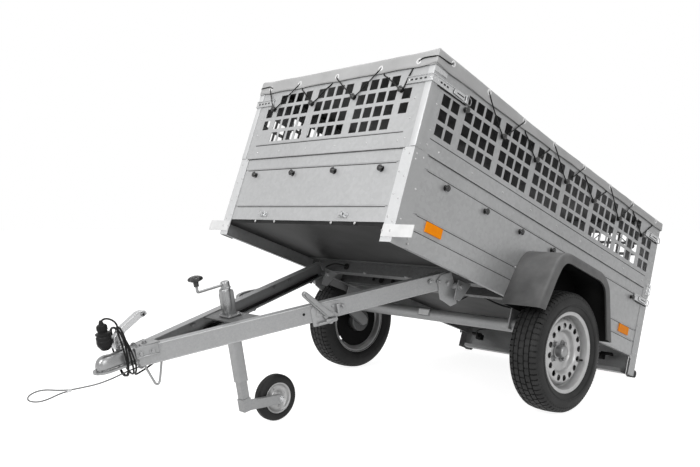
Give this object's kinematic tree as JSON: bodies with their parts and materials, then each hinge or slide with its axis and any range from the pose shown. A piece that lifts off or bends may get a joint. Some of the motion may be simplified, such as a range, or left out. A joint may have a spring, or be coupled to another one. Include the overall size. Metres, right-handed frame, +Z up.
{
  "type": "utility trailer",
  "caption": "Single-axle box trailer standing tipped, with mesh sides, a flat cover, a V drawbar with coupling head and a jockey wheel.",
  "frame": {"origin": "on the ground, in the middle of the box round the trailer without its free cords", "axes": "+X to the trailer's left, -Y forward along the drawbar, +Y to the rear, +Z up"},
  "size_m": [1.564, 3.3347, 1.532],
  "materials": {
    "galvanised_steel": "satin, spangled zinc",
    "rim_silver": "satin silver paint",
    "hub_steel": "dull",
    "tyre_rubber": "matte",
    "jockey_rim": "satin",
    "mudguard_plastic": "fine grain",
    "floor_board": "film-faced plywood",
    "cover_sheet": "coated, slightly glossy",
    "coupling_cast": "zinc coated",
    "handle_zinc": "satin",
    "black_rubber": "matte",
    "amber_reflector": "ribbed, glossy",
    "lamp_red": "glossy",
    "steel_rope": "stranded"
  },
  "bodies": {
    "chassis": {"axle_crossmember": "galvanised_steel", "axle_tube": "galvanised_steel", "bed_floor": "floor_board", "corner_latches": "galvanised_steel", "front_panel": "galvanised_steel", "front_posts": "galvanised_steel", "hinge_brackets": "galvanised_steel", "hinge_crossmember": "galvanised_steel", "load_cover": "cover_sheet", "lock_eyes": "galvanised_steel", "marker_plates": "galvanised_steel", "mesh_front": "galvanised_steel", "mesh_rear": "galvanised_steel", "mesh_side_left": "galvanised_steel", "mesh_side_right": "galvanised_steel", "mudguard_left": "mudguard_plastic", "mudguard_right": "mudguard_plastic", "rear_crossbar": "galvanised_steel", "rear_feet": "black_rubber", "rear_posts": "galvanised_steel", "side_panel_left": "galvanised_steel", "side_panel_right": "galvanised_steel", "side_reflectors": "amber_reflector", "swing_arms": "galvanised_steel", "tail_lamps": "lamp_red", "tailgate_hinges": "galvanised_steel"},
    "drawbar": {"drawbar_leg_left": "galvanised_steel", "drawbar_leg_right": "galvanised_steel", "leg_end_plates": "galvanised_steel", "cross_plate": "galvanised_steel", "jockey_stand": "galvanised_steel", "jockey_crank": "galvanised_steel", "coupling_head": "coupling_cast", "coupling_handle": "handle_zinc", "tilt_locks": "galvanised_steel", "cable_rest": "galvanised_steel", "rope_eye": "galvanised_steel", "breakaway_cable": "steel_rope", "rope_ferrule": "galvanised_steel", "plug_cable": "black_rubber", "cable_coil": "black_rubber", "lead_cable": "black_rubber", "cable_conduit": "black_rubber", "plug": "black_rubber"},
    "tailgate": {"tailgate": "galvanised_steel", "tailgate_knuckles": "galvanised_steel"},
    "wheel_left": {"tyre_left": "tyre_rubber", "rim_left": "rim_silver", "hub_left": "hub_steel"},
    "wheel_right": {"tyre_right": "tyre_rubber", "rim_right": "rim_silver", "hub_right": "hub_steel"},
    "jockey_post": {"jockey_leg": "galvanised_steel"},
    "jockey_fork": {"jockey_arm": "galvanised_steel"},
    "jockey_wheel": {"jockey_tyre": "tyre_rubber", "jockey_rim": "jockey_rim"}
  },
  "joints": [
    {"name": "tip_hinge", "type": "hinge", "parent": "chassis", "child": "drawbar", "pos_m": [0, -0.09907, 0.57617], "axis": [-1, 0, 0], "range_deg": [0, 30.68]},
    {"name": "tailgate_hinge", "type": "hinge", "parent": "chassis", "child": "tailgate", "pos_m": [0, 1.31289, 0.17029], "axis": [-1, 0, 0], "range_deg": [0, 95]},
    {"name": "wheel_left_spin", "type": "hinge", "parent": "chassis", "child": "wheel_left", "pos_m": [0.7, 0.32873, 0.2735], "axis": [1, 0, 0], "continuous": true},
    {"name": "wheel_right_spin", "type": "hinge", "parent": "chassis", "child": "wheel_right", "pos_m": [-0.7, 0.32873, 0.2735], "axis": [1, 0, 0], "continuous": true},
    {"name": "jockey_slide", "type": "slide", "parent": "drawbar", "child": "jockey_post", "axis": [0, 0.1891, -0.982], "range_m": [-0.07, 0.12]},
    {"name": "jockey_swivel", "type": "hinge", "parent": "jockey_post", "child": "jockey_fork", "pos_m": [0, -0.89846, 0.1], "axis": [0, -0.1891, 0.982], "continuous": true},
    {"name": "jockey_spin", "type": "hinge", "parent": "jockey_fork", "child": "jockey_wheel", "pos_m": [-0.03, -0.72046, 0.1], "axis": [1, 0, 0], "continuous": true}
  ]
}
